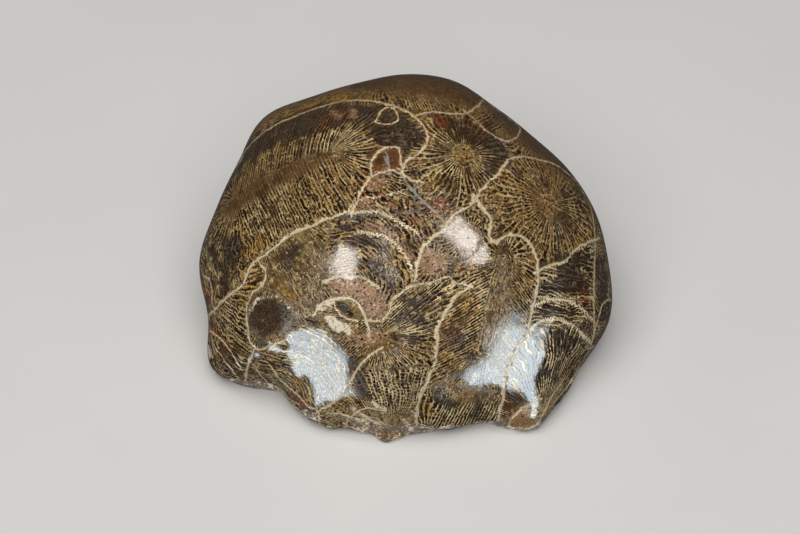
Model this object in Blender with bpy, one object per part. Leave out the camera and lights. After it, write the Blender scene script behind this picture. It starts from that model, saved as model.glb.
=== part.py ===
"""A fossil coral head: one polished, dome-shaped colony, broken along its lower edge and cut flat below.

Run with: blender --background --python part.py
Frame: +Z up, -Y the side that shows best, the origin under the middle of the head on the flat cut.
"""

import math

import bmesh
import bpy
from mathutils import Matrix, Vector, noise

MM = 0.001

# Driving dimensions of the polished dome, in millimetres.
# The broadest outline (the girdle) lies in a plane that leans back from the front foot to the rear crown.
LEAN_DEG = 44.0
GIRDLE = (  # radius every 15 degrees: from the right side, over the crown, to the left side and along the front foot
    44.5, 43.0, 41.0, 39.0, 39.0, 41.0, 41.0, 40.0, 40.5, 43.5, 42.0, 42.5,
    45.0, 44.5, 46.5, 40.5, 43.0, 40.0, 39.5, 40.5, 41.5, 47.0, 45.0, 46.5,
)
GIRDLE_FADE = 2.5  # how fast the girdle's ups and downs die away over the dome
FRONT_BULGE = 35.5  # how far the dome stands out of the girdle plane, on the upper front side
REAR_BULGE = 48.0  # and on the lower rear side
ROUNDNESS = 2.3  # exponent of the bulge: 2 is an ellipsoid, more is boxier
CENTRE_HEIGHT = 16.0  # height of the dome's centre above the flat cut

# Low swells and hollows left by hand polishing: bearing, elevation and reach in degrees, height in millimetres.
SWELLS = {
    "left knob": (-119, 42, 15, 0.9),
    "right knob": (-56, 48, 12, 0.7),
    "valley between the knobs": (-88, 52, 10, -0.7),
    "left foot flat": (-119, 4, 17, -0.5),
    "right foot flat": (-56, 6, 18, -0.5),
    "front middle": (-88, 12, 13, 0.5),
    "left foot": (-153, -14, 9, 1.8),
    "left foot notch": (-137, -15, 6, -1.5),
    "right foot": (-54, -15, 7, 3.8),
    "left cheek": (175, 22, 16, 0.6),
    "left cheek hollow": (-160, 12, 11, -0.6),
    "rear left knob": (130, 35, 20, 1.2),
    "rear hollow": (95, 20, 16, -1.2),
    "rear right knob": (55, 18, 18, 1.1),
    "rear foot swell": (118, -4, 14, 0.9),
    "right shoulder hollow": (10, 45, 14, -0.5),
}

# The broken lower edge.
EDGE_HEIGHT = 3.0  # mean height of the polished edge above the flat cut
EDGE_WANDER = 1.1  # how far it rises and falls
EDGE_BAND = 9.0  # height of the band of dome that bends with it
CHIPS = {  # bearing and width in degrees, rise of the edge and reach of the broken stone under it in millimetres
    "left foot lip": (-143, 3.0, -0.4, 1.2),
    "left corner": (-116, 3.0, -0.6, 0.8),
    "front tongue": (-96, 6.0, -1.4, 3.4),
    "front scallop": (-78, 7.0, 0.6, -0.4),
    "right nick": (-63, 2.5, 1.4, -1.0),
    "right corner": (-55, 4.0, -0.9, 1.0),
    "right bite": (-30, 7.0, 1.6, -1.0),
    "rear bite": (62, 9.0, 2.2, -1.2),
    "rear corner": (104, 6.0, -0.6, 1.2),
    "rear left bite": (148, 8.0, 1.8, -1.0),
}
BREAK_STEPS = (  # the broken stone under the edge: how far in, share of a chip's reach, height, roughness
    (0.6, 1.0, 1.6, 0.5),
    (1.4, 0.0, 0.0, 0.6),
)

# Mesh density.
DOME_SUBDIVISIONS = 5
FINE_BELOW = 9.0  # edges below this height are split, so that the broken edge has small teeth
SNAP = 0.9  # points this near the edge plane move onto it, so that no sliver is cut
SHARP_DEG = 40.0

BROWN = (0.16, 0.105, 0.055, 1.0)


def heading(bearing, elevation):
    """Unit vector at a bearing (0 is +X, 90 is +Y) and an elevation above the horizon, in degrees."""
    b, e = math.radians(bearing), math.radians(elevation)
    return Vector((math.cos(b) * math.cos(e), math.sin(b) * math.cos(e), math.sin(e)))


CENTRE = Vector((0, 0, CENTRE_HEIGHT))
MEAN_RADIUS = sum(GIRDLE) / len(GIRDLE)
ACROSS = heading(0, 0)
ALONG = heading(90, 90 - LEAN_DEG)  # up the leaning girdle plane, towards the rear crown
OUT = heading(-90, LEAN_DEG)  # out of that plane, towards the upper front


def girdle_radius(angle):
    """Catmull-Rom curve through the girdle's radii, at an angle in radians."""
    count = len(GIRDLE)
    place = angle / math.tau * count
    first = math.floor(place)
    t = place - first
    a, b, c, d = (GIRDLE[(first + k) % count] for k in (-1, 0, 1, 2))
    return b + 0.5 * t * (c - a + t * (2 * a - 5 * b + 4 * c - d + t * (3 * (b - c) + d - a)))


def swell(direction):
    """Height of the low swells and hollows in a direction from the centre."""
    total = 0.0
    for bearing, elevation, reach, height in SWELLS.values():
        turn = direction.angle(heading(bearing, elevation))
        total += height * math.exp(-((turn / math.radians(reach)) ** 2))
    return total


def onto_dome(point):
    """The point of the polished surface in the direction of a point, seen from the centre."""
    direction = (point - CENTRE).normalized()
    out = direction.dot(OUT)
    around = math.atan2(direction.dot(ALONG), direction.dot(ACROSS))
    flat = math.sqrt(max(0.0, 1 - out * out))
    radius = MEAN_RADIUS + (girdle_radius(around) - MEAN_RADIUS) * flat**GIRDLE_FADE
    bulge = FRONT_BULGE if out > 0 else REAR_BULGE
    reach = ((flat / radius) ** ROUNDNESS + (abs(out) / bulge) ** ROUNDNESS) ** (-1 / ROUNDNESS)
    return CENTRE + direction * (reach + swell(direction))


def gap_deg(a, b):
    """Angle between two bearings, in degrees."""
    return abs((a - b + 180) % 360 - 180)


def edge_change(point):
    """(rise of the polished edge, reach of the broken stone) at a point's bearing, in millimetres."""
    bearing = math.degrees(math.atan2(point.y, point.x))
    side = heading(bearing, 0)
    rise = EDGE_WANDER * noise.fractal(side * 3.1, 1.0, 2.0, 3)
    reach = 0.0
    for middle, width, chip_rise, chip_reach in CHIPS.values():
        share = math.exp(-((gap_deg(bearing, middle) / width) ** 2))
        rise += chip_rise * share
        reach += chip_reach * share
    return rise, reach


def polished_dome():
    """A sphere pulled onto the dome, cut open below along the wandering edge."""
    bm = bmesh.new()
    bmesh.ops.create_icosphere(bm, subdivisions=DOME_SUBDIVISIONS, radius=1.0)
    for vert in bm.verts:
        vert.co = onto_dome(CENTRE + vert.co)
    bmesh.ops.bisect_plane(
        bm,
        geom=bm.verts[:] + bm.edges[:] + bm.faces[:],
        dist=SNAP,
        plane_co=(0, 0, EDGE_HEIGHT),
        plane_no=(0, 0, 1),
        use_snap_center=True,
        clear_inner=True,
    )
    low = [edge for edge in bm.edges if max(vert.co.z for vert in edge.verts) < FINE_BELOW]
    bmesh.ops.subdivide_edges(bm, edges=low, cuts=1)
    bmesh.ops.triangulate(bm, faces=bm.faces[:])
    for vert in bm.verts:
        fade = max(0.0, 1 - (vert.co.z - EDGE_HEIGHT) / EDGE_BAND)
        rise, _ = edge_change(vert.co)
        vert.co = onto_dome(vert.co + Vector((0, 0, rise * fade * fade)))
    return bm


def open_edges(bm):
    return [edge for edge in bm.edges if edge.is_boundary]


def add_broken_band(bm):
    """Draws the open edge in and down to the cut in rough steps, and closes it with the flat cut."""
    for inset, share, height, roughness in BREAK_STEPS:
        grown = bmesh.ops.extrude_edge_only(bm, edges=open_edges(bm))["geom"]
        for vert in (item for item in grown if isinstance(item, bmesh.types.BMVert)):
            side = Vector((vert.co.x, vert.co.y, 0)).normalized()
            _, reach = edge_change(vert.co)
            grain = roughness * noise.noise(vert.co * 0.45)
            vert.co += side * (reach * share - inset + grain)
            vert.co.z = height + (roughness * noise.noise(vert.co * 0.6) if height else 0.0)
    bmesh.ops.contextual_create(bm, geom=open_edges(bm))
    bmesh.ops.recalc_face_normals(bm, faces=bm.faces[:])


def centre_over_origin(bm):
    """Moves the head so that the middle of its plan is over the origin."""
    xs = [vert.co.x for vert in bm.verts]
    ys = [vert.co.y for vert in bm.verts]
    middle = Vector(((min(xs) + max(xs)) / 2, (min(ys) + max(ys)) / 2, 0))
    bmesh.ops.translate(bm, vec=-middle, verts=bm.verts[:])


def fossil_brown():
    material = bpy.data.materials.new("polished_fossil_coral")
    material.use_nodes = True
    shader = material.node_tree.nodes["Principled BSDF"]
    shader.inputs["Base Color"].default_value = BROWN
    shader.inputs["Roughness"].default_value = 0.15
    shader.inputs["Metallic"].default_value = 0.0
    return material


def coral_head():
    bm = polished_dome()
    add_broken_band(bm)
    centre_over_origin(bm)
    bmesh.ops.transform(bm, matrix=Matrix.Scale(MM, 4), verts=bm.verts[:])
    mesh = bpy.data.meshes.new("coral_head")
    bm.to_mesh(mesh)
    bm.free()
    mesh.shade_smooth()
    mesh.set_sharp_from_angle(angle=math.radians(SHARP_DEG))
    mesh.materials.append(fossil_brown())
    head = bpy.data.objects.new("coral_head", mesh)
    bpy.context.scene.collection.objects.link(head)


for leftover in list(bpy.data.objects):
    bpy.data.objects.remove(leftover)
coral_head()
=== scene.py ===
# %% [markdown]
# # A polished head of fossil coral
# This lesson dresses one stone: a dome of fossil colonial coral, ground round and polished, broken
# along its lower edge. The solid shape comes ready made, so almost all of the work is the pattern.
# Each step says what the thing is on the real stone, how it could be made, and why this way was chosen.

# %% Load the stone
import heapq
import math

import bmesh
import bpy
import numpy as np
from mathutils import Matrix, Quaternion, Vector, noise
from mathutils.bvhtree import BVHTree


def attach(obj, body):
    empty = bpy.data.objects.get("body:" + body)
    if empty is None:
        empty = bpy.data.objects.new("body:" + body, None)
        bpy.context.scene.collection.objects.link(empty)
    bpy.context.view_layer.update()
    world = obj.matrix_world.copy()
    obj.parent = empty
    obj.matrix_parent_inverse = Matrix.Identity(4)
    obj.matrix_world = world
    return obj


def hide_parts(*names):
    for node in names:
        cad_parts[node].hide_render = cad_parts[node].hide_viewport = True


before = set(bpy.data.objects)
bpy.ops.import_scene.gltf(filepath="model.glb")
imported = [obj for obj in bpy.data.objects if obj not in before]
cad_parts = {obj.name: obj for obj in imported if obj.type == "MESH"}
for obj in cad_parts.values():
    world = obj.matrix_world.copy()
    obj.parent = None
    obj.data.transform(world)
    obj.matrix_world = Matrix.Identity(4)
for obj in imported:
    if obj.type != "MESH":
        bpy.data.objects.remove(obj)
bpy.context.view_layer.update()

MM = 0.001

# %% [markdown]
# ## The camera
# A long lens a good way off shows the stone with little distortion, as a product picture does. The
# camera comes first, because the main features of the pattern are placed by where they are seen.

# %% Camera
FRAME_SIZE = (800, 534)  # the picture, in pixels
CAMERA_ELEVATION = 44.0  # degrees above the horizon
CAMERA_DISTANCE = 730 * MM
CAMERA_TARGET = Vector((-1.236, -4.033, 15.21)) * MM
LENS = 150.0
SENSOR = 36.0

lift = math.radians(CAMERA_ELEVATION)
TO_CAMERA = Vector((0, -math.cos(lift), math.sin(lift)))
VIEW_UP = Vector((0, math.sin(lift), math.cos(lift)))
VIEW_RIGHT = Vector((1, 0, 0))

camera = bpy.data.objects.new("camera", bpy.data.cameras.new("camera"))
camera.data.lens = LENS
camera.data.sensor_width = SENSOR
camera.location = CAMERA_TARGET + TO_CAMERA * CAMERA_DISTANCE
camera.rotation_euler = (math.radians(90 - CAMERA_ELEVATION), 0, 0)
bpy.context.scene.collection.objects.link(camera)
bpy.context.scene.camera = camera
PIXELS_PER_UNIT = LENS / SENSOR * FRAME_SIZE[0]
print("camera at", [round(x, 3) for x in camera.location])


def sight_line(x, y):
    """Direction from the camera through a pixel."""
    right = (x - FRAME_SIZE[0] / 2) / PIXELS_PER_UNIT
    up = (FRAME_SIZE[1] / 2 - y) / PIXELS_PER_UNIT
    return (VIEW_RIGHT * right + VIEW_UP * up - TO_CAMERA).normalized()


def pixels_of(points):
    """Where an array of points is seen, as an array of pixels."""
    away = points - np.array(camera.location)
    depth = -(away @ np.array(TO_CAMERA))
    right = (away @ np.array(VIEW_RIGHT)) / depth * PIXELS_PER_UNIT
    up = (away @ np.array(VIEW_UP)) / depth * PIXELS_PER_UNIT
    return np.stack([FRAME_SIZE[0] / 2 + right, FRAME_SIZE[1] / 2 - up], axis=1)


# %% [markdown]
# ## The skin
# The solid's triangles are joined again and sorted by walking up from the flat cut: two rings of
# vertices up is the edge of the polish. Everything below that edge is broken stone. A Subdivision
# Surface rounds the polished dome, and a crease keeps the broken edge sharp.

# %% Sort the solid into polish, break and cut
WELD = 0.001 * MM
POLISHED, BROKEN = 0, 1  # material slots of the new piece
EDGE_CREASE = 0.75
CUT_BORDER = 0.7 * MM

stone = bmesh.new()
stone.from_mesh(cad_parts["coral_head"].data)
bmesh.ops.remove_doubles(stone, verts=stone.verts[:], dist=WELD)


def ring_above(ring, below):
    """The vertices one edge away from a ring that aren't below it."""
    return {edge.other_vert(vert) for vert in ring for edge in vert.link_edges} - ring - below


cut_ring = {vert for vert in stone.verts if vert.co.z < WELD}
break_ring = ring_above(cut_ring, set())
edge_ring = ring_above(break_ring, cut_ring)
below_edge = cut_ring | break_ring
for face in stone.faces:
    face.smooth = True
    face.material_index = BROKEN if any(vert in below_edge for vert in face.verts) else POLISHED
cut_faces = [face for face in stone.faces if all(vert in cut_ring for vert in face.verts)]
cut = bmesh.ops.dissolve_faces(stone, faces=cut_faces)["region"]
bmesh.ops.inset_region(stone, faces=cut, thickness=CUT_BORDER)

crease = stone.edges.layers.float.new("crease_edge")
for edge in stone.edges:
    for ring in (cut_ring, edge_ring):
        if all(vert in ring for vert in edge.verts):
            edge[crease] = EDGE_CREASE
print("rings of", len(cut_ring), len(break_ring), len(edge_ring), "vertices from the cut to the polish")

# %% Round it with a Subdivision Surface and keep the result
ROUNDING = 2  # levels

mesh = bpy.data.meshes.new("coral_head_skin")
stone.to_mesh(mesh)
stone.free()
head = bpy.data.objects.new("coral_head_skin", mesh)
bpy.context.scene.collection.objects.link(head)
rounding = head.modifiers.new("rounding", "SUBSURF")
rounding.levels = rounding.render_levels = ROUNDING
rounding.boundary_smooth = "ALL"
bpy.context.view_layer.update()
rounded = bpy.data.meshes.new_from_object(head.evaluated_get(bpy.context.evaluated_depsgraph_get()))
head.modifiers.clear()
head.data = rounded
rounded.name = "coral_head_skin"
print("skin of", len(rounded.polygons), "faces")

# %% [markdown]
# ## The crust
# Along its lower edge the polish ends in raw broken stone: a step down, then a rough, sugary surface.
# Wet-look gloss ends there too. The vertices of that band are moved in along their normals by noise, so
# the roughness is real shape and not only shading.

# %% Roughen the lower edge
CRUST_TOP = 3.3 * MM  # mean height of the crust's upper edge
CRUST_WANDER = 4.5 * MM
CRUST_STEP = 0.3 * MM
CRUST_ROUGHNESS = 0.55 * MM
CRUST_GRAIN = 1.3 * MM
CUT_MARGIN = 0.3 * MM  # stone this near the cut stays as it is

crust_depth = np.zeros(len(rounded.vertices))
for index, vert in enumerate(rounded.vertices):
    wander = noise.noise(vert.co / (7 * MM)) + 0.5 * noise.noise(vert.co / (2.2 * MM))
    crust_depth[index] = CRUST_TOP + CRUST_WANDER * wander - vert.co.z
moves = []
for index, vert in enumerate(rounded.vertices):
    share = min(1.0, max(0.0, crust_depth[index] / (0.5 * MM))) * min(1.0, vert.co.z / CUT_MARGIN)
    grain = noise.noise(vert.co / CRUST_GRAIN + Vector((7, 3, 1)))
    moves.append(vert.normal * -share * (CRUST_STEP + CRUST_ROUGHNESS * max(0.0, 0.4 + grain)))
for vert, move in zip(rounded.vertices, moves):
    vert.co += move
rounded.update()
print("crust over", int((crust_depth > 0).sum()), "vertices")

# %% [markdown]
# ## A chart of the pattern
# The cut corals can't be left to chance: the walls, the flowers and the patches of colour each have
# their place. They are drawn as a few points each, as seen through the camera, and every point
# is then dropped onto the skin along its sight line. After that the pattern belongs to the stone.

# %% Drop points onto the skin
STEP_IN = 0.99  # a point that just misses the stone moves this much towards its middle



def read_skin():
    """(search tree, places, normals) of the skin as it is now."""
    tree = BVHTree.FromObject(head, bpy.context.evaluated_depsgraph_get())
    columns = []
    for name in ("co", "normal"):
        column = np.empty(len(head.data.vertices) * 3)
        head.data.vertices.foreach_get(name, column)
        columns.append(column.reshape(-1, 3))
    return tree, *columns


tree, skin, outward = read_skin()
STONE_MIDDLE = pixels_of(skin).mean(axis=0)


def on_stone(x, y):
    """(place, normal) on the skin of the point seen at a pixel."""
    spot = np.array([x, y], float)
    while True:
        place, normal, _, _ = tree.ray_cast(camera.location, sight_line(*spot))
        if place:
            return place, normal
        spot = STONE_MIDDLE + (spot - STONE_MIDDLE) * STEP_IN


def smooth_line(points, step):
    """A Catmull-Rom curve through points, with a point every step or so."""
    points = np.array(points, float)
    if len(points) < 3:
        count = max(2, int(np.hypot(*(points[-1] - points[0])) / step))
        return points[0] + (points[-1] - points[0]) * np.linspace(0, 1, count)[:, None]
    ends = np.vstack([2 * points[0] - points[1], points, 2 * points[-1] - points[-2]])
    curve = []
    for a, b, c, d in zip(ends, ends[1:], ends[2:], ends[3:]):
        count = max(2, int(np.hypot(*(c - b)) / step))
        t = np.linspace(0, 1, count, endpoint=False)[:, None]
        curve.append(b + 0.5 * t * (c - a + t * (2 * a - 5 * b + 4 * c - d + t * (3 * (b - c) + d - a))))
    return np.vstack(curve + [points[-1:]])


print("the stone's middle is seen at", STONE_MIDDLE.round(1))

# %% [markdown]
# ## Low swells left by the grinding wheel
# A hand-held stone never comes out perfectly round. These swells and hollows are well under a
# millimetre high, too low to see in the outline, but a mirror finish shows them at once: they bend the
# reflections of the windows into rounded, uneven shapes.

# %% Swell the skin a little where the chart says
SWELLS = {  # where it is seen, reach and height in millimetres
    "ridge left of the left foot": ((273, 345), 3.0, 0.7),
    "dip under the left foot": ((370, 393), 5.0, 0.15),
    "dip at the front middle": ((451, 387), 3.5, -0.25),
    "dip beside it": ((437, 391), 5.5, -0.2),
    "hollow of the right foot": ((507, 371), 8.0, -0.3),
    "ridge of the right foot": ((550, 356), 4.5, 0.7),
    "hollow above the right foot": ((542, 305), 5.0, -0.5),
    "swell left of the right foot": ((465, 385), 7.0, 0.3),
    "swell in the valley": ((421, 237), 7.0, 0.5),
    "swell by the right lamp": ((491, 267), 3.5, 0.25),
}

raised = np.zeros(len(skin))
for pixel, reach, height in SWELLS.values():
    away = np.linalg.norm(skin - np.array(on_stone(*pixel)[0]), axis=1)
    raised += height * MM * np.exp(-((away / (reach * MM)) ** 2))
head.data.vertices.foreach_set("co", (skin + outward * raised[:, None]).ravel())
head.data.update()
tree, skin, outward = read_skin()
seen_at = pixels_of(skin)
print("swells from", (raised.min() / MM).round(2), "to", (raised.max() / MM).round(2), "mm")

# %% [markdown]
# ## Walls and veins
# Where two corals met, each built a wall, and the double wall is now a wandering cream line. A line
# painted as a mask is only as sharp as the mesh. The signed distance to a line, though, is nearly
# straight across it, so a coarse mesh carries it well, and the shader can draw an edge of any sharpness
# and let it wander. Lines that come close to each other go on different layers.

# %% The walls, as seen, and their half-widths
WALLS = {
    "outer wall upper left": (0.36, ((232, 166), (238, 159), (256, 139), (277, 124), (303, 113), (321, 106.5),
        (344, 101), (368, 100.5), (391, 105), (410, 113), (420, 122), (426.5, 133), (426, 145), (418, 153),
        (408, 160), (403, 168))),
    "upper right wall": (0.28, ((421, 114), (435, 112), (450, 113), (466, 113), (479, 104), (485, 97))),
    "small lens": (0.26, ((467, 113), (477, 122), (487, 131), (500, 139), (510, 141), (518, 136), (520, 128),
        (513, 118), (503, 110), (489, 103))),
    "flower cell rim": (0.38, ((476, 198), (485, 186), (497, 175), (503, 166), (511, 159), (523, 157),
        (541, 160), (558, 166), (575, 180))),
    "wall below centre flower": (0.44, ((476, 198), (467, 207), (454, 214), (446, 226), (435, 236),
        (424, 246), (419, 259), (415, 276))),
    "long wall right": (0.46, ((476, 198), (484, 209), (491, 220), (489, 236), (495, 241), (511, 235),
        (526, 239), (534, 251), (538, 268), (537, 290), (532, 309), (529, 324), (525, 336), (514, 355),
        (506, 378), (503, 400), (499, 412), (497, 430))),
    "branch to the right": (0.34, ((538, 271), (550, 265), (566, 261), (574, 251), (586, 243), (598, 239))),
    "right edge wall": (0.3, ((580, 183), (588, 199), (594, 224), (595, 248), (594, 283), (594, 312),
        (594, 335), (586, 356), (572, 380), (553, 404))),
    "right edge branch": (0.26, ((594, 333), (599, 316), (602, 305), (610, 299))),
    "middle wall": (0.5, ((470, 285), (456, 297), (444, 315), (438, 327), (437, 344), (435, 359), (429, 377),
        (423, 391), (418, 404), (416, 421), (415, 436))),
    "feeder wall": (0.24, ((398, 295), (411, 286), (428, 284), (438, 281), (447, 277), (456, 283), (468, 286))),
    "left diagonal wall": (0.42, ((345, 212), (327, 219), (309, 227), (291, 234), (277, 245), (265, 254),
        (254, 262), (247, 274), (243, 284), (233, 292), (221, 303), (212, 312), (207, 318))),
    "round patch wall": (0.26, ((259, 262), (265, 271), (264, 283), (251, 295), (246, 309), (248, 330),
        (250, 342), (257, 349), (267, 347), (284, 341))),
    "left foot wall": (0.3, ((254, 350), (249, 363), (246, 376), (244, 386))),
    "left foot seam": (0.26, ((208, 330), (218, 336), (229, 349), (240, 367))),
    "front left wall": (0.32, ((272, 368), (281, 381), (297, 394), (307, 405), (318, 412), (318.5, 426))),
    "front left branch": (0.26, ((318, 412), (334, 402), (349, 384), (356, 371), (367, 357), (379, 350))),
    "red cell": (0.3, ((371, 178), (371, 165), (376, 153), (386, 148), (398, 148), (400, 158), (402, 172),
        (392, 170), (381, 172), (371, 178), (362, 190), (356, 202), (352, 213))),
    "red cell link": (0.26, ((401, 172), (409, 178), (419, 181))),
    "pale eye rim": (0.32, ((316, 312), (322, 304), (336, 298), (350, 299), (360, 307), (366, 318),
        (368, 328))),
    "eye lower lid": (0.16, ((333, 302), (337, 310), (344, 317), (353, 320))),
    "pink patch wall": (0.18, ((392, 302), (389, 311), (385, 319), (376, 322), (368, 321))),
    "front left seam": (0.28, ((246, 384), (262, 389), (278, 397), (294, 409), (310, 418))),
    "front left inner seam": (0.22, ((258, 372), (268, 383), (282, 394), (296, 403))),
    "foot seam": (0.28, ((332, 414), (346, 415), (358, 421), (370, 432), (380, 442))),
    "fan seam": (0.24, ((344, 428), (352, 416), (366, 408), (380, 410))),
    "right foot rim": (0.26, ((562, 382), (551, 398), (544, 412), (536, 426))),
    "right foot seam": (0.14, ((507, 428), (514, 416), (526, 406), (538, 400))),
    "pale blob rim": (0.2, ((377, 118), (381, 111), (389, 107), (396, 111), (398, 119), (390, 124), (380, 123))),
    "tongue seam": (0.24, ((350, 431), (360, 421), (373, 418), (385, 425), (396, 437))),
    "left foot inner seam": (0.2, ((214, 346), (226, 362), (238, 378))),
    "left edge wall": (0.3, ((204, 276), (210, 281), (212, 291), (212, 300), (214, 310))),
}
VEINS = {
    "grey vein": (0.2, ((402, 176), (413, 190), (424, 201), (437, 214), (446, 225))),
    "red cell vein": (0.4, ((386, 156), (388, 163), (389, 170))),
}
GROWTH_LINES = {
    "top growth line": (0.14, ((354, 204), (366, 198), (380, 197), (396, 193))),
    "upper growth line": (0.2, ((353, 213), (369, 211), (382, 213), (392, 218), (401, 223), (414, 231))),
    "lower growth line": (0.22, ((362, 232), (374, 234), (387, 238), (398, 247), (407, 259), (414, 273))),
    "right growth line 1": (0.24, ((535, 305), (548, 300), (562, 300), (577, 305), (591, 318))),
    "right growth line 2": (0.28, ((532, 328), (541, 321), (555, 319), (568, 323), (580, 332), (590, 342))),
    "knob rim": (0.2, ((327, 280), (337, 277), (350, 277), (363, 278), (375, 285))),
}

# %% Signed distances to the lines, on layers of lines that keep clear of each other
LINE_STEP = 2.0  # pixels between the points of a line
LINE_REACH = 3.5 * MM  # how far from its line a distance is worked out
KEEP_CLEAR = 2.4 * MM  # lines nearer than this go on different layers
FAR = 50.0 * MM


def on_skin(points):
    found = [on_stone(x, y) for x, y in smooth_line(points, LINE_STEP)]
    return np.array([place for place, _ in found]), np.array([normal for _, normal in found])


def distance_to(line, normals, near):
    """(signed, plain) distance of the near vertices to a line on the skin."""
    signed = np.full(len(near), FAR)
    plain = np.full(len(near), FAR)
    spots = skin[near]
    for a, b, normal in zip(line, line[1:], normals):
        along = b - a
        length = np.linalg.norm(along)
        if length < WELD:
            continue
        along /= length
        away = spots - a
        t = away @ along
        gap = np.linalg.norm(away - np.clip(t, 0, length)[:, None] * along, axis=1)
        side = away @ np.cross(normal, along)
        closer = gap < plain
        plain[closer] = gap[closer]
        signed[closer] = side[closer]
    return signed, plain


class Layer:
    """Signed distance, plain distance and half-width of the nearest of a few lines, at each vertex."""

    def __init__(self):
        self.signed = np.full(len(skin), FAR)
        self.plain = np.full(len(skin), FAR)
        self.width = np.zeros(len(skin))
        self.lines = []

    def clear_of(self, line):
        return all(np.linalg.norm(line[:, None] - other[None], axis=2).min() > KEEP_CLEAR for other in self.lines)

    def add(self, line, normals, width):
        near = np.flatnonzero(
            ((skin > line.min(axis=0) - LINE_REACH) & (skin < line.max(axis=0) + LINE_REACH)).all(axis=1)
        )
        signed, plain = distance_to(line, normals, near)
        closer = plain < self.plain[near]
        self.signed[near[closer]] = signed[closer]
        self.plain[near[closer]] = plain[closer]
        self.width[near[closer]] = width
        self.lines.append(line)


def layers_of(chart):
    """The chart's lines on as few layers as keep them clear of each other."""
    layers = []
    for width, points in chart.values():
        line, normals = on_skin(points)
        home = next((layer for layer in layers if layer.clear_of(line)), None)
        if home is None:
            home = Layer()
            layers.append(home)
        home.add(line, normals, width)
    return layers


wall_layers = layers_of(WALLS)
vein_layers = layers_of(VEINS)
growth_layers = layers_of(GROWTH_LINES)
print(len(WALLS), "walls on", len(wall_layers), "layers;", len(vein_layers), "vein and", len(growth_layers), "growth layers")

# %% [markdown]
# ## The corals
# Each coral was a tube with thin plates, the septa, standing like spokes round its core. A cut across
# a tube shows a flower, a slanting cut a long feather, and outside the spokes the plates dissolve into a
# net of blisters. All of these are one drawing in coordinates that wrap round a core: how far a point
# is from the core, and how far round it. A core is a point or a short line, and the coordinates run
# round a line as a running track runs round a field.

# %% The corals, as seen: core, septa round it, size, lean of the septa, ring growth, dash length
TRACK_BEND = 6.0 * MM  # the distance from the core at which the septa's number is counted

CORALS = {
    # name: (core line, core's radius in mm, number of septa, reach, lean, radius of the ringed zone in mm,
    # dash in mm, net 0 to 1, tone 0 tan to 1 dark, brightness of the septa 0 to 1)
    "crown": (((360, 84), (455, 80)), 0, 96, 1.0, 0.0, 0, 1.6, 1.0, 0.25, 0.1),
    "small lens coral": (((485, 112), (503, 128)), 0, 60, 0.5, 0.0, 0, 1.1, 0.9, 0.2, 0.3),
    "right flower": (((550, 204),), 2.2, 60, 1.0, 0.0, 0, 1.9, 0.8, 0.1, 0.15),
    "centre flower": (((463, 155),), 2.5, 48, 0.9, 0.0, 0, 2.0, 0.7, 0.15, 0.3),
    "left giant": (((236, 199), (330, 152)), 0, 112, 1.4, -0.25, 0, 4.2, 0.7, 0.35, 0.3),
    "red cell coral": (((388, 160),), 0, 30, 0.4, 0.0, 0, 2.0, 0.0, 0.3, 0.3),
    "knob coral": (((345, 286),), 0, 60, 1.2, 0.0, 99, 3.4, 0.8, 0.7, 0.1),
    "left knob flank": (((262, 170),), 0, 230, 0.9, 0.0, 0, 2.4, 0.7, 0.45, 0.3),
    "round patch coral": (((268, 318),), 0, 70, 0.6, 0.0, 0, 1.6, 0.6, 0.6, 0.1),
    "left foot coral": (((190, 280),), 0, 120, 0.9, 0.0, 0, 4.5, 0.5, 0.75, 0.5),
    "front left coral": (((262, 412),), 0, 60, 0.9, 0.0, 99, 3.6, 0.7, 0.6, 0.6),
    "front fan": (((392, 440),), 0, 170, 1.0, 0.0, 0, 0.85, 1.0, 0.6, 0.5),
    "centre coral": (((362, 316), (380, 336)), 0, 100, 1.0, 0.0, 0, 2.6, 0.9, 0.65, 0.3),
    "long coral": (((505, 258), (488, 345)), 0, 100, 1.2, -0.8, 2.7, 2.8, 0.9, 0.35, 0.3),
    "right knob coral": (((468, 238),), 0, 44, 0.6, 0.0, 0, 1.2, 1.0, 0.3, 0.4),
    "pink disc": (((434, 262),), 0, 30, 0.4, 0.0, 0, 1.2, 0.4, 0.3, 0.3),
    "right fan": (((552, 432),), 0, 84, 1.1, 0.0, 0, 4.4, 0.3, 0.95, 1.3),
    "right bands": (((552, 432),), 0, 120, 1.1, 0.0, 99, 4.4, 0.5, 0.75, 0.7),
    "bottom middle": (((428, 430), (498, 424)), 0, 100, 0.8, -0.2, 0, 3.0, 0.5, 0.7, 0.8),
    "right foot coral": (((520, 425),), 0, 60, 0.6, 0.0, 0, 1.6, 0.8, 0.3, 0.5),
    "right edge coral": (((605, 270),), 0, 60, 0.8, 0.0, 99, 2.0, 0.8, 0.45, 0.4),
}
SEEDS = {
    "right bands": (566, 292), "right fan": (560, 360), "front fan": (385, 400), "bottom middle": (465, 410),
    "left knob flank": (300, 262), "left foot coral": (222, 330), "front left coral": (318, 362),
}  # where else a coral starts
REAR_CORALS = {  # bearing and elevation of the core and of its far end, core's radius, septa, ringed zone
    "rear crown": ((80, 62), (110, 66), 0, 96, 0),
    "rear left flower": ((125, 38), (125, 38), 2.4, 46, 0),
    "rear left feather": ((150, 18), (163, 34), 0, 90, 0),
    "rear middle feather": ((98, 14), (90, 32), 0, 96, 2.5),
    "rear right flower": ((52, 36), (52, 36), 2.2, 48, 0),
    "rear right feather": ((62, 4), (48, 12), 0, 90, 0),
    "right side flower": ((20, 14), (20, 14), 2.3, 44, 0),
    "right side feather": ((30, 50), (14, 44), 0, 90, 0),
    "rear foot fan": ((120, -8), (120, -8), 0, 110, 0),
    "left side coral": ((172, 0), (178, 8), 0, 80, 0),
    "right rear foot": ((28, -10), (36, -10), 0, 90, 99),
}
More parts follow.
